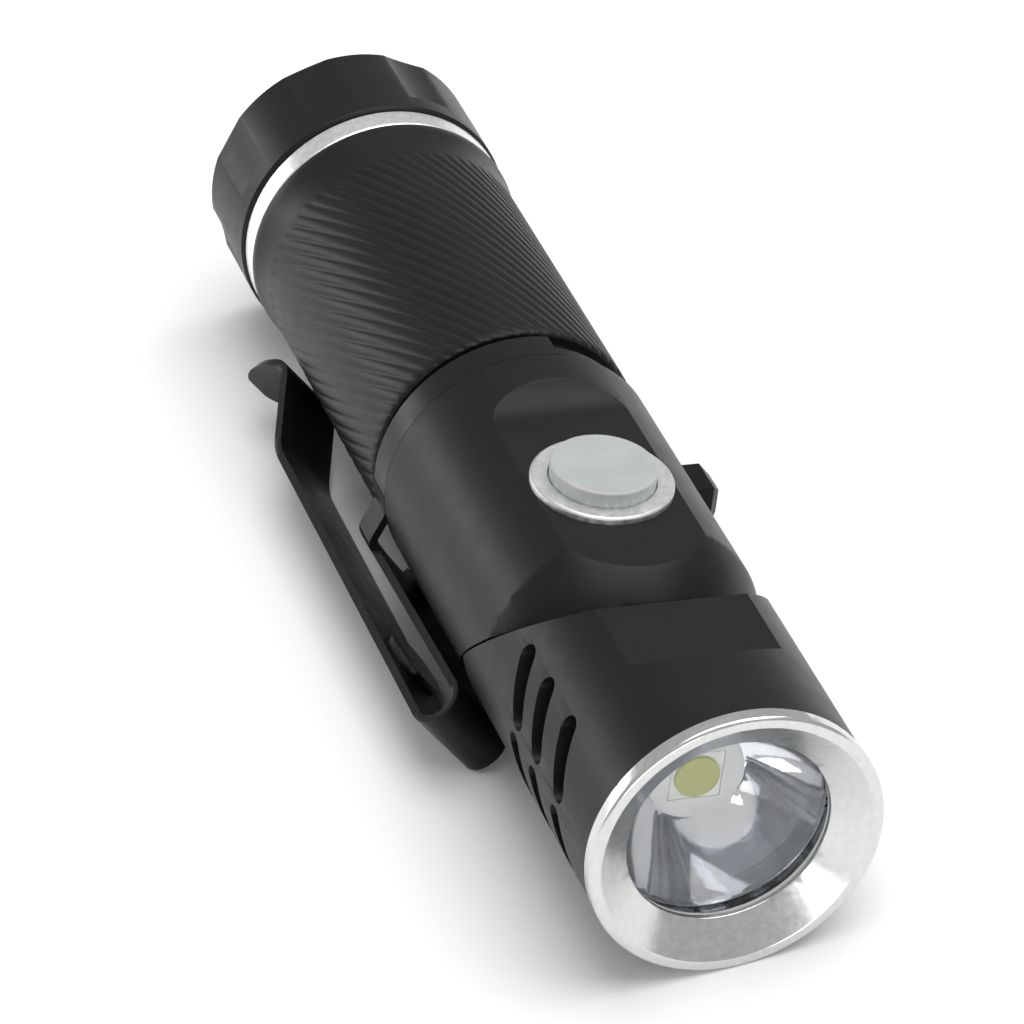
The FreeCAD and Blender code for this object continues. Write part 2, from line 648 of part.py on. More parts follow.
def usb_plug():
    """Rubber cover of the charging socket, with a pull tab at its rear end."""
    slab = port_recess(SEAT_GAP).common(rod(BODY_R - RUN_GAP, 0, FAR / 4))
    slab = slab.cut(box(0, PORT_FLOOR + RUN_GAP, -FAR, FAR, -FAR, FAR))
    rear = PORT_Y + PORT_RECESS_REAR - SEAT_GAP
    half_z = PLUG_TAB_Z / 2
    out = BODY_R + PLUG_TAB_OUT
    tab = box(PORT_FLOOR + PLUG_TAB_BEVEL, out, rear - PLUG_TAB_Y, rear,
              PORT_HEIGHT - half_z, PORT_HEIGHT + half_z)
    rim = [e for e in tab.Edges if e.BoundBox.XMin > out - RUN_GAP]
    tab = tab.makeChamfer(PLUG_TAB_BEVEL, rim)
    return slab.fuse(tab)


def driver_board():
    rear = CELL_FRONT - CONTACT_T
    front = rear - DRIVER_T
    board = rod(FRONT_CAVITY_R - SEAT_GAP, front, rear)
    chip = box(CHIP_X - CHIP_W / 2, CHIP_X + CHIP_W / 2, front - CHIP_T, front,
               CHIP_Z - CHIP_H / 2, CHIP_Z + CHIP_H / 2)
    clear = joint_side(-JOINT_AXIS, SEAM_GAP / 2 + SEAM_WALL + SEAT_GAP)
    return board.fuse(chip).common(clear)


def positive_contact():
    rear = CELL_FRONT
    front = rear - CONTACT_T
    flange = rod(CONTACT_R, front, front + CONTACT_FLANGE_T)
    return flange.fuse(rod(CONTACT_PIN_R, front, rear))


# ---------------------------------------------------------------- battery tube
def battery_tube():
    flare_start = TAIL_RING_FRONT - FLANGE_L - FLARE_L
    flange_r = BODY_R + FLANGE_STEP
    rise = flange_r - TUBE_R
    radius = (FLARE_L ** 2 + rise ** 2) / (2 * rise)
    half_turn = math.asin(FLARE_L / radius) / 2
    low = V(TUBE_R, flare_start, 0)
    middle = V(TUBE_R + radius * (1 - math.cos(half_turn)),
               flare_start + radius * math.sin(half_turn), 0)
    high = V(flange_r, flare_start + FLARE_L, 0)
    end = V(flange_r, TAIL_RING_FRONT, 0)
    corners = [V(0, TUBE_FRONT, 0), V(TUBE_R - TUBE_EDGE, TUBE_FRONT, 0),
               V(TUBE_R, TUBE_FRONT + TUBE_EDGE, 0), low]
    edges = [Part.makeLine(a, b) for a, b in zip(corners, corners[1:])]
    edges.append(Part.Arc(low, middle, high).toShape())
    edges += [Part.makeLine(high, end), Part.makeLine(end, V(0, TAIL_RING_FRONT, 0)),
              Part.makeLine(V(0, TAIL_RING_FRONT, 0), corners[0])]
    solid = Part.Face(Part.Wire(edges)).revolve(V(0, 0, 0), V(0, 1, 0), 360)
    solid = solid.fuse(rod(REAR_THREAD_R, TAIL_RING_FRONT, TAIL_RING_FRONT + REAR_THREAD_L))
    solid = solid.cut(rod(BORE_R, 0, FAR / 2))
    solid = solid.cut(rod(FRONT_THREAD_R + THREAD_GAP, 0, TUBE_FRONT + FRONT_THREAD_L + RUN_OUT))
    groove = ring(FAR / 8, REAR_THREAD_R - SEAL_GROOVE, REAR_GROOVE_Y, REAR_GROOVE_Y + SEAL_W)
    return solid.cut(groove)


def rear_tube_seal():
    return thread_seal(REAR_THREAD_R, REAR_GROOVE_Y)


def battery_can():
    can = rod(CELL_R - CELL_WRAP_T, CELL_FRONT + CELL_TIP_T, CELL_REAR)
    return can.fuse(rod(CELL_TIP_R, CELL_FRONT, CELL_FRONT + CELL_TIP_T))


def battery_wrap():
    front = CELL_FRONT + CELL_TIP_T
    return ring(CELL_R, CELL_R - CELL_WRAP_T, front, CELL_REAR)


# ---------------------------------------------------------------- tail
def tail_ring():
    outer = BODY_R + RING_STEP
    inner = REAR_THREAD_R + THREAD_GAP
    edge = TAIL_RING_EDGE
    return turned([
        (inner, TAIL_RING_FRONT), (outer - edge, TAIL_RING_FRONT), (outer, TAIL_RING_FRONT + edge),
        (outer, CAP_FRONT - edge), (outer - edge, CAP_FRONT), (inner, CAP_FRONT)])


def tail_cap():
    edge = TAIL_RING_EDGE
    solid = turned([
        (0, CAP_FRONT), (TAIL_R - edge, CAP_FRONT), (TAIL_R, CAP_FRONT + edge),
        (TAIL_R, TAIL_END - TAIL_EDGE), (TAIL_R - TAIL_EDGE, TAIL_END), (0, TAIL_END)])
    solid = solid.cut(rod(REAR_THREAD_R + THREAD_GAP, 0, BOARD_REAR - TAIL_POCKET_L))
    solid = solid.cut(rod(TAIL_BOARD_R + SEAT_GAP, 0, BOARD_REAR))
    for i in range(SCALLOPS):
        angle = 2 * math.pi * (i + 0.5) / SCALLOPS
        reach = TAIL_R - SCALLOP_DEPTH + SCALLOP_R
        centre = V(reach * math.sin(angle), CAP_FRONT + SCALLOP_SETBACK, reach * math.cos(angle))
        solid = solid.cut(Part.makeCylinder(SCALLOP_R, TAIL_CAP_L, centre, V(0, 1, 0)))
    return solid


def tail_board():
    return rod(TAIL_BOARD_R, BOARD_FRONT, BOARD_REAR)


def board_retainer():
    outer = TAIL_BOARD_R + SEAT_GAP - RUN_GAP
    return ring(outer, RETAINER_BORE_R, BOARD_FRONT - RETAINER_T, BOARD_FRONT)


def tail_spring():
    height = SPRING_L - 2 * SPRING_WIRE_R
    helix = Part.makeHelix(height / SPRING_TURNS, height, SPRING_R)
    start = helix.Edges[0].valueAt(helix.Edges[0].FirstParameter)
    heading = helix.Edges[0].tangentAt(helix.Edges[0].FirstParameter)
    section = Part.Wire(Part.makeCircle(SPRING_WIRE_R, start, heading))
    coil = Part.Wire(helix.Edges).makePipeShell([section], True, True)
    coil.rotate(V(0, 0, 0), V(1, 0, 0), -90)
    coil.translate(V(0, CELL_REAR + SPRING_WIRE_R, 0))
    return coil


# ---------------------------------------------------------------- pocket clip
def clip_profile():
    """The leg, fold, arm and tongue seen from the side, as (y, height) corners."""
    fold = MID_END - CLIP_REACH
    leg_rear = BODY_R + CLIP_LEG_GAP + CLIP_SHEET / 2
    leg_fold = BODY_R + CLIP_FOLD_GAP + CLIP_SHEET / 2
    arm = leg_fold + 2 * CLIP_FOLD_R
    bend = fold + CLIP_ARM_L
    dip = bend + CLIP_DIP_L
    grip = TUBE_R + CLIP_TIP_GAP + CLIP_SHEET / 2
    tongue = dip + CLIP_TONGUE_L
    return [(BAND_REAR, leg_rear), (fold, leg_fold), (fold, arm), (bend, arm - CLIP_ARM_DROP),
            (dip, grip), (tongue, grip + CLIP_TONGUE_RISE)]


def pocket_clip():
    profile = clip_profile()
    fold = CLIP_FOLD_R - CLIP_FOLD_FLAT / 2
    strip = bent_strip(profile, [fold, fold, CLIP_DIP_R, CLIP_TONGUE_R], CLIP_SHEET)
    turn = FreeCAD.Placement(V(-CLIP_HALF_W, 0, 0), FreeCAD.Rotation(V(1, 1, 1), 120))
    strip.Placement = turn
    plate = strip.extrude(V(2 * CLIP_HALF_W, 0, 0))
    tip = profile[-1][0]
    outline = box(-CLIP_HALF_W, CLIP_HALF_W, 0, tip - CLIP_HALF_W, -FAR, FAR)
    round_end = Part.makeCylinder(CLIP_HALF_W, 2 * FAR, V(0, tip - CLIP_HALF_W, -FAR), V(0, 0, 1))
    plate = plate.common(outline.fuse(round_end))
    band = clip_band(BAND_FRONT, BAND_REAR)
    ears = clip_ears(BAND_FRONT, BAND_REAR, profile[0][1])
    clip = band.fuse(ears).fuse(plate).cut(clip_window(profile[0][1] + CLIP_SHEET))
    clip.rotate(V(0, 0, 0), V(0, 1, 0), CLIP_ANGLE)
    return clip


def clip_window(top):
    """Opening between the ears, round at its front end."""
    y = MID_END + CLIP_WINDOW_Y
    round_end = radial_rod(CLIP_WINDOW_R, 0, top, y)
    return round_end.fuse(box(-CLIP_WINDOW_R, CLIP_WINDOW_R, y, BAND_REAR + OVER, 0, top))


def clip_band(front, rear):
    """Open spring ring that runs in the groove, without its stretch under the ears."""
    hoop = ring(BODY_R, BODY_R - CLIP_SHEET, front, rear)
    hoop = hoop.cut(wedge(180, 180 - CLIP_SPAN, front, rear))
    return hoop.cut(wedge(0, CLIP_EAR_END, front, rear))


def wedge(middle, half, front, rear):
    """Sector prism about Y; angles from +Z towards +X, in degrees."""
    arc = []
    for k in (-1, 0, 1):
        angle = math.radians(middle + k * half)
        arc.append(V(FAR / 4 * math.sin(angle), front - OVER, FAR / 4 * math.cos(angle)))
    centre = V(0, front - OVER, 0)
    edges = [Part.makeLine(centre, arc[0]), Part.Arc(*arc).toShape(), Part.makeLine(arc[2], centre)]
    return Part.Face(Part.Wire(edges)).extrude(V(0, rear - front + 2 * OVER, 0))


def clip_ears(front, rear, height):
    """The sheet steps up from the ring to the leg on both sides."""
    radius = BODY_R - CLIP_SHEET / 2 + CLIP_EAR_LIFT
    half = CLIP_HALF_W + CLIP_EAR_OUT
    side = []
    for angle in (CLIP_EAR_END + CLIP_EAR_LAP, CLIP_EAR_FOOT):
        a = math.radians(angle)
        side.append((radius * math.sin(a), radius * math.cos(a)))
    side.append((half, height))
    points = side + [(-x, z) for x, z in reversed(side)]
    strip = bent_strip(points, [CLIP_EAR_BEND] * 4, CLIP_SHEET)
    strip.rotate(V(0, 0, 0), V(1, 0, 0), 90)
    strip.translate(V(0, rear, 0))
    return strip.extrude(V(0, front - rear, 0))


def clip_badge():
    """Plain round boss on the inner face of the arm."""
    fold, arm = clip_profile()[2]
    slant = CLIP_ARM_DROP / CLIP_ARM_L
    disc = radial_rod(BADGE_R, -BADGE_T, 0, 0)
    disc.rotate(V(0, 0, 0), V(1, 0, 0), -math.degrees(math.atan(slant)))
    disc.translate(V(0, fold + BADGE_OFFSET, arm - CLIP_SHEET / 2 - slant * BADGE_OFFSET))
    disc.rotate(V(0, 0, 0), V(0, 1, 0), CLIP_ANGLE)
    return disc


# ---------------------------------------------------------------- write the pieces
PIECES = {
    "bezel_ring": bezel_ring,
    "lens_seal": lens_seal,
    "front_lens": front_lens,
    "reflector": reflector,
    "centering_ring": centering_ring,
    "led_package": led_package,
    "led_phosphor": led_phosphor,
    "led_board": led_board,
    "head_shell": head_shell,
    "pivot_shaft": pivot_shaft,
    "pivot_washer": pivot_washer,
    "pivot_retaining_ring": retaining_ring,
    "pivot_seal": pivot_seal,
    "switch_housing": switch_housing,
    "switch_bezel": switch_bezel,
    "switch_board": switch_board,
    "tact_switch": tact_switch,
    "button_cap": button_cap,
    "usb_socket": usb_socket,
    "usb_plug": usb_plug,
    "driver_board": driver_board,
    "positive_contact": positive_contact,
    "front_tube_seal": front_tube_seal,
    "battery_tube": battery_tube,
    "battery_can": battery_can,
    "battery_wrap": battery_wrap,
    "rear_tube_seal": rear_tube_seal,
    "tail_ring": tail_ring,
    "tail_cap": tail_cap,
    "tail_board": tail_board,
    "board_retainer": board_retainer,
    "tail_spring": tail_spring,
    "pocket_clip": pocket_clip,
    "clip_badge": clip_badge,
}

os.makedirs("parts", exist_ok=True)
for name, make in PIECES.items():
    solid = save(name, make())
    print(name, round(solid.Volume, 2), len(solid.Solids), solid.isValid())
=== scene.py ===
import bpy
import math
from mathutils import Matrix, Vector


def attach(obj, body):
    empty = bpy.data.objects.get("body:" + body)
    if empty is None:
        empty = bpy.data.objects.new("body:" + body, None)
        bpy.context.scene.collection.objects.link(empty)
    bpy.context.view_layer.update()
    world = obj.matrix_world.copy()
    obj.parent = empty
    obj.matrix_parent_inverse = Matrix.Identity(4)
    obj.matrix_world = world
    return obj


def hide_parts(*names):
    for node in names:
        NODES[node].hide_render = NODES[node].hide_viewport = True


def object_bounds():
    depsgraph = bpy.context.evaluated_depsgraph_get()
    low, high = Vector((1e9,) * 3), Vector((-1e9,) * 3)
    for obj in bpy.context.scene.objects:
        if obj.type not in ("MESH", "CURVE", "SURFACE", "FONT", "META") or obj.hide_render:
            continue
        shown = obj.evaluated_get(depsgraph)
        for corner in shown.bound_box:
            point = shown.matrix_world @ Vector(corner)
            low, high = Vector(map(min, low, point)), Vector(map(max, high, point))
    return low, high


# Pocket flashlight on a pale floor. Metres; the origin is the centre of the tail's flat end face,
# -Y runs to the lip of the bezel and Z is up.

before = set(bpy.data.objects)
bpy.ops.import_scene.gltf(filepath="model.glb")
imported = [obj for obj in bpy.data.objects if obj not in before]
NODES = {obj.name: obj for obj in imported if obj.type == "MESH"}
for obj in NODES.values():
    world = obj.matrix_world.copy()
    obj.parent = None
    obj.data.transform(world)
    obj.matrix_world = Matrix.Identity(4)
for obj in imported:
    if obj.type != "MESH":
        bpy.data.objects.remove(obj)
CAD_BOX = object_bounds()
MM = 0.001

# ------------------------------------------------------------------ sizes of the battery tube, mm
TUBE_FRONT = -54.2
GROOVES_END = -19.4
FLANGE_START = -15.6
RING_FACE = -14.8
SPIGOT_END = -6.3
SEAL_START = -11.2
SEAL_END = -9.7
TUBE_R = 13.73
FLANGE_R = 14.10
SPIGOT_R = 12.0
SEAL_R = 11.2
BORE_R = 9.55
FRONT_BORE_R = 12.15
FRONT_BORE_END = -46.7
GROOVES = 60
GROOVE_DEPTH = 0.13
GROOVE_LEAN = 0.52          # travel round the tube for each millimetre along it
GROOVE_FADE = 1.6
VALLEY_SHARPNESS = 3
PER_GROOVE = 8              # columns of the mesh in each groove
GROOVE_ROWS = 34
FADE_ROWS = 6
FLARE_ROWS = 8

# broken edge of the tube's front end, as (distance from the end, step in from the outside, share of depth)
FRONT_EDGE = ((0.0, 0.42, 0.0), (0.0, 0.35, 0.6), (0.12, 0.13, 0.9), (0.35, 0.0, 1.0))
# the same at the flange, without grooves
FLANGE_EDGE = ((0.12, 0.0), (0.03, 0.04), (0.0, 0.12))

THREAD_PITCH = 1.0
THREAD_DEPTH = 0.42
THREAD_INSET = 0.3          # smooth stretch at each end of the thread
THREAD_FADE = 6             # the thread runs out over a sixth of its length
THREAD_ROWS = 26
THREAD_COLUMNS = 120
SPIGOT_LAND = 3.4           # from the ring's face
SPIGOT_EDGE_L = 0.15
SPIGOT_EDGE_R = 0.2

FLOOR_HALF = 2.5            # metres


# ------------------------------------------------------------------ material nodes
class Nodes:
    """A material with a Principled shader and short calls for the nodes that feed it.

    Noise scales are per metre, and bump distances are metres.
    """

    def __init__(self, name, **sockets):
        self.material = bpy.data.materials.new(name)
        self.material.use_nodes = True
        self.tree = self.material.node_tree
        self.shader = self.tree.nodes["Principled BSDF"]
        for key, value in sockets.items():
            self.shader.inputs[key.replace("_", " ")].default_value = value
        self.place = self.tree.nodes.new("ShaderNodeTexCoord").outputs["Object"]

    def add(self, kind, inputs, **settings):
        node = self.tree.nodes.new("ShaderNode" + kind)
        for key, value in settings.items():
            setattr(node, key, value)
        for key, value in inputs.items():
            if isinstance(value, bpy.types.NodeSocket):
                self.tree.links.new(value, node.inputs[key])
            else:
                node.inputs[key].default_value = value
        return node

    def math(self, operation, a, b=0.0):
        return self.add("Math", {0: a, 1: b}, operation=operation).outputs[0]

    def noise(self, scale, detail=2.0, place=None, rough=0.5):
        where = place or self.place
        inputs = {"Vector": where, "Scale": scale, "Detail": detail, "Roughness": rough}
        return self.add("TexNoise", inputs).outputs["Fac"]

    def spread(self, fac, low, high, a=0.35, b=0.65):
        inputs = {"Value": fac, "From Min": a, "From Max": b, "To Min": low, "To Max": high}
        return self.add("MapRange", inputs).outputs["Result"]

    def blend(self, fac, a, b):
        node = self.add("Mix", {}, data_type="RGBA")
        self.tree.links.new(fac, node.inputs["Factor"])
        node.inputs["A"].default_value = (*a, 1)
        node.inputs["B"].default_value = (*b, 1)
        return node.outputs["Result"]

    def radius(self):
        """Distance from the light's own axis, in metres."""
        parts = self.add("SeparateXYZ", {"Vector": self.place}).outputs
        square = self.math("ADD", self.math("MULTIPLY", parts["X"], parts["X"]),
                           self.math("MULTIPLY", parts["Z"], parts["Z"]))
        return self.math("SQRT", square)

    def bump(self, height, strength, distance, before=None):
        inputs = {"Height": height, "Strength": strength, "Distance": distance}
        if before:
            inputs["Normal"] = before
        return self.add("Bump", inputs).outputs["Normal"]

    def feed(self, **sockets):
        for key, value in sockets.items():
            self.tree.links.new(value, self.shader.inputs[key.replace("_", " ")])
        return self.material


def anodised(name, dark, light, rough_low, rough_high):
    """Bead-blasted and anodised aluminium: a fine grain under a satin film."""
    n = Nodes(name, IOR=1.5, Specular_IOR_Level=0.21)
    cloud = n.noise(90, 4)
    grain = n.noise(5200, 3)
    colour = n.blend(n.spread(cloud, 0, 1), dark, light)
    rough = n.spread(n.noise(420, 3), rough_low, rough_high)
    normal = n.bump(grain, 0.22, 0.00002)
    return n.feed(Base_Color=colour, Roughness=rough, Normal=normal)


def turned_metal(name, dark, light, rough_low, rough_high):
    """Metal turned about the light's own axis, with fine concentric marks."""
    n = Nodes(name, Metallic=1.0)
    radius = n.radius()
    y = n.add("SeparateXYZ", {"Vector": n.place}).outputs["Y"]
    ring_place = n.add("CombineXYZ", {"X": radius, "Y": y, "Z": 0.0}).outputs[0]
    marks = n.noise(16000, 2, ring_place)
    mottle = n.noise(1500, 5)
    colour = n.blend(n.spread(mottle, 0, 1), dark, light)
    both = n.math("ADD", n.math("MULTIPLY", marks, 0.5), n.math("MULTIPLY", mottle, 0.5))
    rough = n.spread(both, rough_low, rough_high, 0.38, 0.62)
    normal = n.bump(marks, 0.16, 0.00001, n.bump(mottle, 0.03, 0.00002))
    return n.feed(Base_Color=colour, Roughness=rough, Normal=normal)


def plain_metal(name, dark, light, rough_low, rough_high, scale=600):
    """Rolled, drawn or plated metal with slightly uneven gloss."""
    n = Nodes(name, Metallic=1.0)
    cloud = n.noise(scale, 4)
    colour = n.blend(n.spread(cloud, 0, 1), dark, light)
    rough = n.spread(n.noise(scale * 3, 3), rough_low, rough_high)
    return n.feed(Base_Color=colour, Roughness=rough, Normal=n.bump(cloud, 0.08, 0.00003))


def moulded(name, dark, light, rough_low, rough_high, scale=1800, bump=0.15, **sockets):
    """Rubber or plastic from a mould: a fine texture with slightly uneven gloss."""
    n = Nodes(name, **sockets)
    cloud = n.noise(scale / 9, 3)
    colour = n.blend(n.spread(cloud, 0, 1), dark, light)
    rough = n.spread(n.noise(scale / 3, 3), rough_low, rough_high)
    return n.feed(Base_Color=colour, Roughness=rough, Normal=n.bump(n.noise(scale, 3), bump, 0.00003))


def circuit_board(name):
    """Green solder mask, lighter where a net of tracks stands up under it."""
    n = Nodes(name)
    tracks = n.add("TexBrick", {"Vector": n.place, "Scale": 420.0, "Mortar Size": 0.09,
                                "Mortar Smooth": 0.1, "Bias": 0.0}).outputs["Fac"]
    colour = n.blend(tracks, (0.006, 0.045, 0.02), (0.02, 0.12, 0.05))
    rough = n.spread(n.noise(900, 2), 0.3, 0.45)
    return n.feed(Base_Color=colour, Roughness=rough, Normal=n.bump(tracks, 0.3, 0.00003))


def lens_glass(name):
    """Coated flat glass: light passes straight through, and it mirrors at a slant."""
    n = Nodes(name, Metallic=1.0, Roughness=0.02)
    edge = n.add("Fresnel", {"IOR": 1.30}).outputs[0]
    dust = n.spread(n.noise(2600, 4), 0.0, 0.02, 0.6, 0.8)
    alpha = n.math("ADD", n.math("MULTIPLY", edge, 0.9), dust)
    colour = n.blend(n.noise(400, 2), (0.82, 0.86, 0.95), (0.95, 0.97, 1.0))
    return n.feed(Base_Color=colour, Alpha=alpha)


def mirror_bowl(name):
    """Vacuum-metallised bowl, with the slight waviness of its lacquer."""
    n = Nodes(name, Metallic=1.0)
    wave = n.noise(260, 2)
    colour = n.blend(wave, (0.80, 0.81, 0.82), (0.93, 0.94, 0.95))
    rough = n.spread(n.noise(1800, 3), 0.03, 0.08)
    return n.feed(Base_Color=colour, Roughness=rough, Normal=n.bump(wave, 0.05, 0.0002))


def phosphor(name):
    """Grainy yellow coat of the light source."""
    n = Nodes(name, IOR=1.5)
    grain = n.noise(9000, 3)
    colour = n.blend(n.spread(grain, 0, 1), (0.34, 0.37, 0.09), (0.48, 0.50, 0.18))
    rough = n.spread(grain, 0.35, 0.6)
    return n.feed(Base_Color=colour, Roughness=rough, Normal=n.bump(grain, 0.3, 0.00004))


def floor_paper(name):
    """Plain pale paper."""
    n = Nodes(name, Specular_IOR_Level=0.2)
    cloud = n.noise(6, 3)
    colour = n.blend(n.spread(cloud, 0, 1), (0.90, 0.90, 0.90), (0.93, 0.93, 0.93))
    rough = n.spread(n.noise(300, 3), 0.75, 0.9)
    return n.feed(Base_Color=colour, Roughness=rough, Normal=n.bump(n.noise(2500, 2), 0.04, 0.00005))


BODY_BLACK = anodised("anodised_black", (0.0052, 0.0057, 0.0055), (0.0070, 0.0077, 0.0074), 0.37, 0.41)
CAP_BLACK = anodised("anodised_cap", (0.0055, 0.0060, 0.0058), (0.0075, 0.0082, 0.0079), 0.34, 0.39)
POLISHED = turned_metal("polished_aluminium", (0.62, 0.63, 0.62), (0.68, 0.69, 0.68), 0.16, 0.22)
RING_METAL = turned_metal("polished_ring", (0.86, 0.86, 0.86), (0.95, 0.95, 0.95), 0.26, 0.38)
SWITCH_STEEL = turned_metal("switch_ring_steel", (0.60, 0.61, 0.60), (0.68, 0.68, 0.67), 0.42, 0.52)
STEEL = plain_metal("stainless_steel", (0.52, 0.52, 0.53), (0.68, 0.68, 0.69), 0.22, 0.34)
BRASS = plain_metal("brass", (0.72, 0.52, 0.22), (0.86, 0.66, 0.32), 0.2, 0.34)
CELL_STEEL = plain_metal("nickel_plate", (0.62, 0.61, 0.58), (0.76, 0.75, 0.72), 0.18, 0.3)
SPRING = plain_metal("spring_wire", (0.62, 0.60, 0.52), (0.78, 0.76, 0.68), 0.2, 0.3, 900)
METAL_CORE = plain_metal("metal_core", (0.70, 0.70, 0.70), (0.85, 0.85, 0.85), 0.3, 0.45)
CLIP_BLACK = anodised("clip_black_steel", (0.0050, 0.0054, 0.0054), (0.0085, 0.0090, 0.0090), 0.28, 0.36)
BADGE_BLACK = moulded("badge_black", (0.003, 0.003, 0.003), (0.007, 0.007, 0.007), 0.18, 0.28, 3000, 0.08)
COVER_RUBBER = moulded("cover_rubber", (0.003, 0.003, 0.003), (0.006, 0.006, 0.006), 0.30, 0.42,
                       Specular_IOR_Level=0.12)
PALE_SILICONE = moulded("pale_silicone", (0.66, 0.67, 0.66), (0.74, 0.75, 0.74), 0.3, 0.42, 2600, 0.05)
SEAL_RUBBER = moulded("seal_rubber", (0.010, 0.010, 0.010), (0.02, 0.02, 0.02), 0.45, 0.6)
CAP_SILICONE = moulded("button_silicone", (0.37, 0.40, 0.385), (0.41, 0.44, 0.425), 0.30, 0.40, 2400, 0.05,
                       Subsurface_Weight=0.35, Subsurface_Scale=0.0015, IOR=1.43)
WHITE_PLASTIC = moulded("white_plastic", (0.60, 0.61, 0.60), (0.70, 0.71, 0.70), 0.4, 0.5, 2000, 0.06)
WASHER_PLASTIC = moulded("washer_plastic", (0.62, 0.60, 0.52), (0.72, 0.70, 0.62), 0.4, 0.5)
CELL_WRAP = moulded("cell_wrap", (0.03, 0.10, 0.22), (0.04, 0.13, 0.28), 0.25, 0.38, 1200, 0.05)
CERAMIC = moulded("led_ceramic", (0.66, 0.67, 0.64), (0.78, 0.79, 0.76), 0.4, 0.55, 4000, 0.1)
BOARD = circuit_board("circuit_board")
GLASS = lens_glass("lens_glass")
MIRROR = mirror_bowl("reflector_mirror")
PHOSPHOR = phosphor("led_phosphor")

FINISH = {
    "bezel_ring": POLISHED, "lens_seal": PALE_SILICONE, "front_lens": GLASS, "reflector": MIRROR,
    "centering_ring": WHITE_PLASTIC, "led_package": CERAMIC, "led_phosphor": PHOSPHOR,
    "led_board": METAL_CORE, "head_shell": BODY_BLACK, "pivot_shaft": STEEL,
    "pivot_washer": WASHER_PLASTIC, "pivot_retaining_ring": STEEL, "pivot_seal": SEAL_RUBBER,
    "switch_housing": BODY_BLACK, "switch_bezel": SWITCH_STEEL, "switch_board": BOARD,
    "tact_switch": STEEL, "button_cap": CAP_SILICONE, "usb_socket": STEEL,
    "usb_plug": COVER_RUBBER, "driver_board": BOARD, "positive_contact": BRASS,
    "front_tube_seal": SEAL_RUBBER, "battery_tube": BODY_BLACK, "battery_can": CELL_STEEL,
    "battery_wrap": CELL_WRAP, "rear_tube_seal": SEAL_RUBBER, "tail_ring": RING_METAL,
    "tail_cap": CAP_BLACK, "tail_board": BOARD, "board_retainer": BRASS, "tail_spring": SPRING,
    "pocket_clip": CLIP_BLACK, "clip_badge": BADGE_BLACK,
}

# width of the broken edge on each visible piece, mm
EDGES = {
    "bezel_ring": 0.10, "head_shell": 0.14, "switch_housing": 0.14, "switch_bezel": 0.06,
    "usb_plug": 0.25, "tail_ring": 0.10, "tail_cap": 0.18, "pocket_clip": 0.16,
    "clip_badge": 0.08, "centering_ring": 0.05, "reflector": 0.03,
}
WELD_REACH = 0.002          # mm
BEVEL_ANGLE = 28            # degrees; edges flatter than this stay as they are
NORMAL_WEIGHT = 60
SMOOTH_ANGLE = 50           # degrees


def finish_node(name):
    """Material, smooth faces and broken edges of one CAD piece."""
    node = NODES[name]
    node.data.materials.clear()
    node.data.materials.append(FINISH[name])
    for polygon in node.data.polygons:
        polygon.use_smooth = True
    weld = node.modifiers.new("weld", "WELD")
    weld.merge_threshold = WELD_REACH * MM
    if name in EDGES:
        bevel = node.modifiers.new("edges", "BEVEL")
        bevel.width = EDGES[name] * MM
        bevel.segments = 2
        bevel.limit_method = "ANGLE"
        bevel.angle_limit = math.radians(BEVEL_ANGLE)
        bevel.use_clamp_overlap = True
        bevel.harden_normals = False
    weighted = node.modifiers.new("normals", "WEIGHTED_NORMAL")
    weighted.weight = NORMAL_WEIGHT
    weighted.keep_sharp = False


for node_name in FINISH:
    finish_node(node_name)


# ------------------------------------------------------------------ battery tube
def lathe_rows(rows, columns):
    """Mesh of closed rows round Y. A row is a list of (angle, radius, y) with one entry a column."""
    verts = []
    for row in rows:
        for angle, radius, y in row:
            verts.append((radius * math.sin(angle) * MM, y * MM, radius * math.cos(angle) * MM))
    faces = []
    count = len(rows)
    for i in range(count):
        for k in range(columns):
            a = i * columns + k
            b = i * columns + (k + 1) % columns
            c = ((i + 1) % count) * columns + (k + 1) % columns
            d = ((i + 1) % count) * columns + k
            faces.append((a, b, c, d))
    return verts, faces


def groove_shape(u):
    """Depth from 0 to 1 across one groove: a broad rounded land and a narrow valley."""
    valley = 0.5 - 0.5 * math.cos(2 * math.pi * u)
    return valley ** VALLEY_SHARPNESS


def tube_row(y, radius, depth=0.0):
    """One closed row of the grooved tube; the grooves lean as far as their rear end."""
    columns = GROOVES * PER_GROOVE
    turn = -GROOVE_LEAN * (min(y, GROOVES_END) - TUBE_FRONT) / TUBE_R
    entries = []
    for k in range(columns):
        share = (k % PER_GROOVE) / PER_GROOVE
        angle = 2 * math.pi * k / columns + turn
        entries.append((angle, radius - depth * groove_shape(share), y))
    return entries


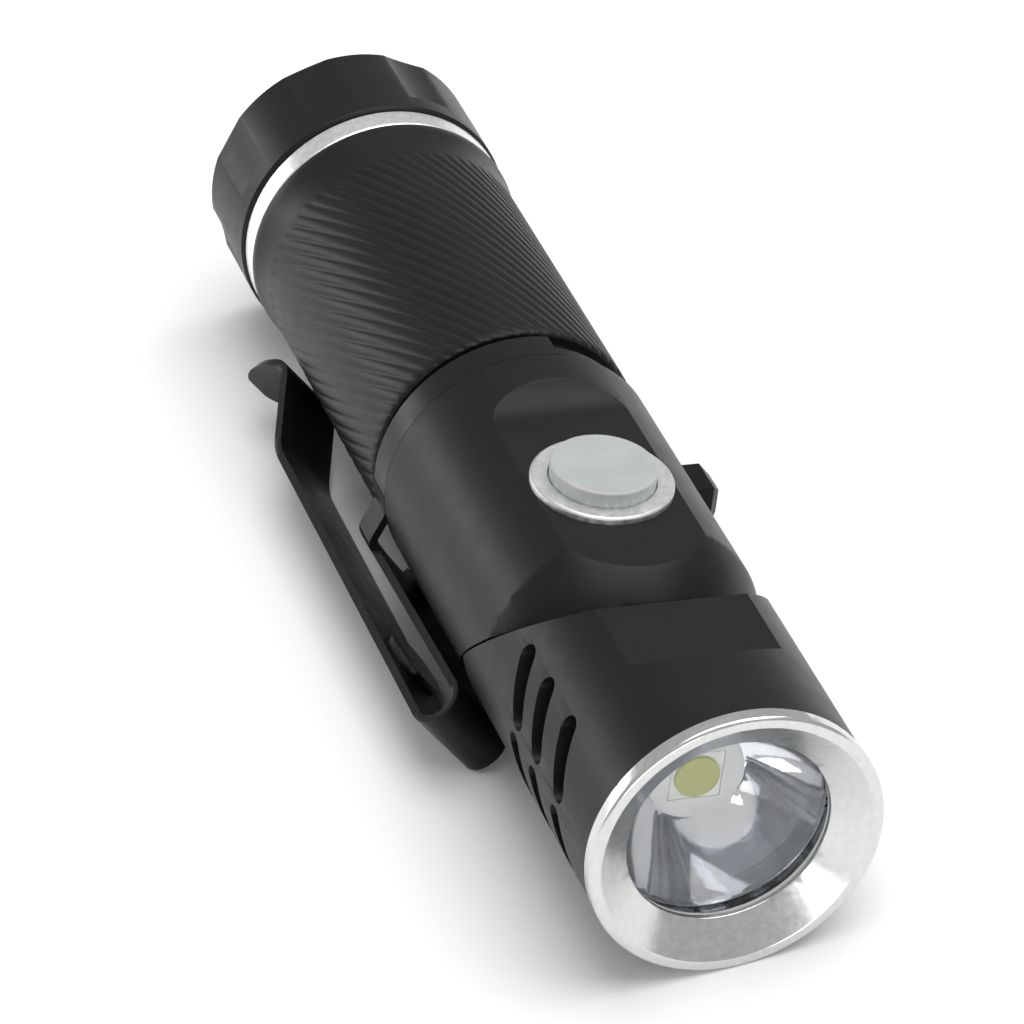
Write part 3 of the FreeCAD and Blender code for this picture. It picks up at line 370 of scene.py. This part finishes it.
def tube_rows():
    """Grooved tube with a flared rear flange; its bore closes the section."""
    rows = [tube_row(TUBE_FRONT, FRONT_BORE_R)]
    for back, step, share in FRONT_EDGE:
        rows.append(tube_row(TUBE_FRONT + back, TUBE_R - step, GROOVE_DEPTH * share))
    full_start = TUBE_FRONT + FRONT_EDGE[-1][0]
    full_end = GROOVES_END - GROOVE_FADE
    for i in range(1, GROOVE_ROWS + 1):
        y = full_start + (full_end - full_start) * i / GROOVE_ROWS
        rows.append(tube_row(y, TUBE_R, GROOVE_DEPTH))
    for i in range(1, FADE_ROWS + 1):
        share = i / FADE_ROWS
        fade = 0.5 + 0.5 * math.cos(math.pi * share)
        rows.append(tube_row(full_end + GROOVE_FADE * share, TUBE_R, GROOVE_DEPTH * fade))
    rise = FLANGE_R - TUBE_R
    for i in range(1, FLARE_ROWS + 1):
        share = i / FLARE_ROWS
        y = GROOVES_END + (FLANGE_START - GROOVES_END) * share
        rows.append(tube_row(y, TUBE_R + rise * share ** 2))
    for ahead, step in FLANGE_EDGE:
        rows.append(tube_row(RING_FACE - ahead, FLANGE_R - step))
    rows.append(tube_row(RING_FACE, BORE_R))
    rows.append(tube_row(FRONT_BORE_END, BORE_R))
    rows.append(tube_row(FRONT_BORE_END, FRONT_BORE_R))
    return rows, GROOVES * PER_GROOVE


def spigot_row(y, radius, cut=0.0):
    """One closed row of the rear spigot; cut is the depth of the thread there."""
    entries = []
    for k in range(THREAD_COLUMNS):
        angle = 2 * math.pi * k / THREAD_COLUMNS
        phase = ((y - RING_FACE) / THREAD_PITCH + k / THREAD_COLUMNS) % 1.0
        tooth = abs(2 * phase - 1)
        entries.append((angle, radius - cut * tooth, y))
    return entries


def spigot_rows():
    """Rear spigot: a land, the seal's groove, the thread and a smooth nose."""
    land = [(RING_FACE, SPIGOT_R), (RING_FACE + SPIGOT_LAND, SPIGOT_R), (SEAL_START, SPIGOT_R)]
    groove = [(SEAL_START, SEAL_R), (SEAL_END, SEAL_R), (SEAL_END, SPIGOT_R)]
    rows = [spigot_row(y, radius) for y, radius in land + groove]
    thread_start = SEAL_END + THREAD_INSET
    thread_end = SPIGOT_END - THREAD_INSET
    for i in range(THREAD_ROWS + 1):
        share = i / THREAD_ROWS
        soft = min(1.0, THREAD_FADE * share, THREAD_FADE * (1 - share))
        y = thread_start + (thread_end - thread_start) * share
        rows.append(spigot_row(y, SPIGOT_R, THREAD_DEPTH * soft))
    nose = [(SPIGOT_END - SPIGOT_EDGE_L, SPIGOT_R), (SPIGOT_END, SPIGOT_R - SPIGOT_EDGE_R)]
    bore = [(SPIGOT_END, BORE_R), (RING_FACE, BORE_R)]
    rows += [spigot_row(y, radius) for y, radius in nose + bore]
    return rows, THREAD_COLUMNS


def new_piece(name, parts, material, body, replaced):
    """Mesh object that rides a body and stands in for the replaced CAD nodes."""
    verts = []
    faces = []
    for part_verts, part_faces in parts:
        start = len(verts)
        verts += part_verts
        faces += [tuple(start + i for i in face) for face in part_faces]
    mesh = bpy.data.meshes.new(name)
    mesh.from_pydata(verts, [], faces)
    mesh.update()
    mesh.materials.append(material)
    for polygon in mesh.polygons:
        polygon.use_smooth = True
    piece = bpy.data.objects.new(name, mesh)
    bpy.context.scene.collection.objects.link(piece)
    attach(piece, body)
    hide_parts(*replaced)
    return piece


tube = new_piece("grooved_tube", [lathe_rows(*tube_rows()), lathe_rows(*spigot_rows())],
                 BODY_BLACK, "body", ["battery_tube"])
tube.data.set_sharp_from_angle(angle=math.radians(SMOOTH_ANGLE))


# ------------------------------------------------------------------ floor, lights and camera
FLOOR_Z = CAD_BOX[0].z
CENTRE = Vector((0, -60 * MM, 0))
SIDEWAYS = Vector((0.9465, -0.3225, 0))
FORWARD = Vector((0.3225, 0.9465, 0))
LENS = 223.7                # mm
SENSOR = 36                 # mm
EYE_PLACE = Vector((-144.68, -539.5, 370.91))
EYE_RIGHT = Vector((0.94535, -0.32207, -0.05087))
EYE_UP = Vector((0.23188, 0.55440, 0.79930))
EYE_LOOK = Vector((0.22923, 0.76741, -0.59878))


def floor():
    """Flat floor under the lowest point of the part."""
    half = FLOOR_HALF
    mesh = bpy.data.meshes.new("floor")
    signs = ((-1, -1), (1, -1), (1, 1), (-1, 1))
    corners = [(half * across, half * along, FLOOR_Z) for across, along in signs]
    mesh.from_pydata(corners, [], [(0, 1, 2, 3)])
    mesh.materials.append(floor_paper("floor_paper"))
    plane = bpy.data.objects.new("floor", mesh)
    bpy.context.scene.collection.objects.link(plane)


def softbox(name, right, ahead, up, width, depth, power):
    """Area light, placed from the object as the camera sees it and aimed at its middle."""
    light = bpy.data.lights.new(name, "AREA")
    light.shape = "RECTANGLE"
    light.size = width
    light.size_y = depth
    light.energy = power
    lamp = bpy.data.objects.new(name, light)
    lamp.location = CENTRE + SIDEWAYS * right + FORWARD * ahead + Vector((0, 0, up))
    lamp.rotation_mode = "QUATERNION"
    lamp.rotation_quaternion = (CENTRE - lamp.location).to_track_quat("-Z", "Y")
    bpy.context.scene.collection.objects.link(lamp)


def sky(strength):
    """Even white light from all round."""
    world = bpy.data.worlds.new("studio")
    world.use_nodes = True
    world.node_tree.nodes["Background"].inputs["Color"].default_value = (1, 1, 1, 1)
    world.node_tree.nodes["Background"].inputs["Strength"].default_value = strength
    bpy.context.scene.world = world


def camera():
    """Long lens above and in front of the bezel, on the clip's side."""
    lens = bpy.data.cameras.new("camera")
    lens.lens = LENS
    lens.sensor_width = SENSOR
    eye = bpy.data.objects.new("camera", lens)
    turn = Matrix((EYE_RIGHT, EYE_UP, -EYE_LOOK)).transposed().to_4x4()
    turn.translation = EYE_PLACE * MM
    eye.matrix_world = turn
    bpy.context.scene.collection.objects.link(eye)
    bpy.context.scene.camera = eye


floor()
softbox("key", 0.24, 0.02, 0.84, 1.0, 1.0, 8.5)
softbox("left", -0.95, 0.35, 0.16, 0.9, 0.25, 2.6)
softbox("front", 0.05, -1.1, 0.16, 0.8, 0.22, 2.4)
sky(0.52)
camera()
bpy.context.scene.view_settings.view_transform = "Standard"

bpy.context.view_layer.update()
